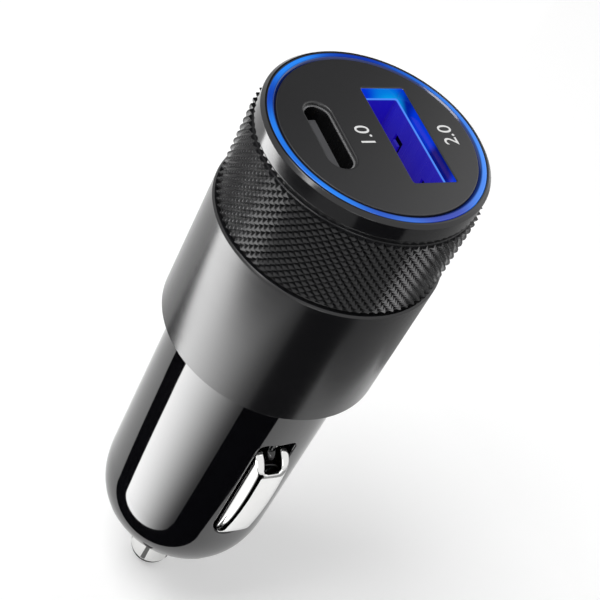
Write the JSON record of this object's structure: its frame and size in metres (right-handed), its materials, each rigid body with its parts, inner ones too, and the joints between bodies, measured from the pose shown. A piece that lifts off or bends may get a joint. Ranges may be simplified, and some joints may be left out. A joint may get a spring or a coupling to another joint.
{
  "type": "car charger plug",
  "caption": "Round plug for a 12 V car lighter socket, with a knurled metal head, a flat and an oval port in its lit face, sprung side contacts and a sprung tip.",
  "frame": {"origin": "on the plug's axis, in the plane of the shoulder that stops on the socket", "axes": "+Z along the plug's axis towards the face with the ports, +X towards the flat port, the side contacts at -Y and +Y"},
  "size_m": [0.0252, 0.0252, 0.0766],
  "materials": {
    "black_aluminium": "black anodised, satin on the band, cut diamonds on the knurl",
    "lit_ring": "clear plastic lit blue from below",
    "face_plastic": "matt moulded",
    "plated_black": "black plated plastic, high gloss",
    "port_steel": "plated sheet",
    "tongue_pink": "moulded",
    "tongue_black": "moulded",
    "gilt": "gilt",
    "board_green": "solder mask",
    "led_white": "light chip",
    "ferrite": "ferrite drum with wound coil",
    "can_blue": "sleeved can",
    "can_grey": "bare can",
    "chip_black": "moulded chip",
    "fuse_ceramic": "ceramic with end caps",
    "chip_tan": "ceramic chips",
    "nickel": "bright nickel plate",
    "spring_steel": "drawn wire",
    "tinned": "tinned sheet"
  },
  "bodies": {
    "charger": {"head_sleeve": "black_aluminium", "light_ring": "lit_ring", "face_plate": "face_plastic", "barrel_housing": "plated_black", "usb_a_shell": "port_steel", "usb_a_insulator": "tongue_pink", "usb_a_contacts": "gilt", "usb_c_shell": "port_steel", "usb_c_insulator": "tongue_black", "usb_c_contacts": "gilt", "port_board": "board_green", "main_board": "board_green", "board_pins": "gilt", "ring_leds": "led_white", "inductor": "ferrite", "input_capacitor": "can_blue", "output_capacitor": "can_grey", "converter_chip": "chip_black", "charge_chip": "chip_black", "rectifier_diode": "chip_black", "fuse": "fuse_ceramic", "board_chips": "chip_tan", "tip_terminal": "tinned", "tip_spring": "spring_steel", "side_spring_front": "spring_steel", "side_spring_back": "spring_steel"},
    "tip": {"tip_contact": "nickel"},
    "side_front": {"side_contact_front": "nickel"},
    "side_back": {"side_contact_back": "nickel"}
  },
  "joints": [
    {"name": "tip_push", "type": "slide", "parent": "charger", "child": "tip", "axis": [0, 0, 1], "range_m": [0, 0.0025], "stiffness_N_per_m": 600, "springref_m": -0.004, "deforming": ["tip_spring"]},
    {"name": "side_front_push", "type": "slide", "parent": "charger", "child": "side_front", "axis": [0, 1, 0], "range_m": [0, 0.00175], "stiffness_N_per_m": 800, "springref_m": -0.003, "deforming": ["side_spring_front"]},
    {"name": "side_back_push", "type": "slide", "parent": "charger", "child": "side_back", "axis": [0, -1, 0], "range_m": [0, 0.00175], "stiffness_N_per_m": 800, "springref_m": -0.003, "deforming": ["side_spring_back"]}
  ]
}
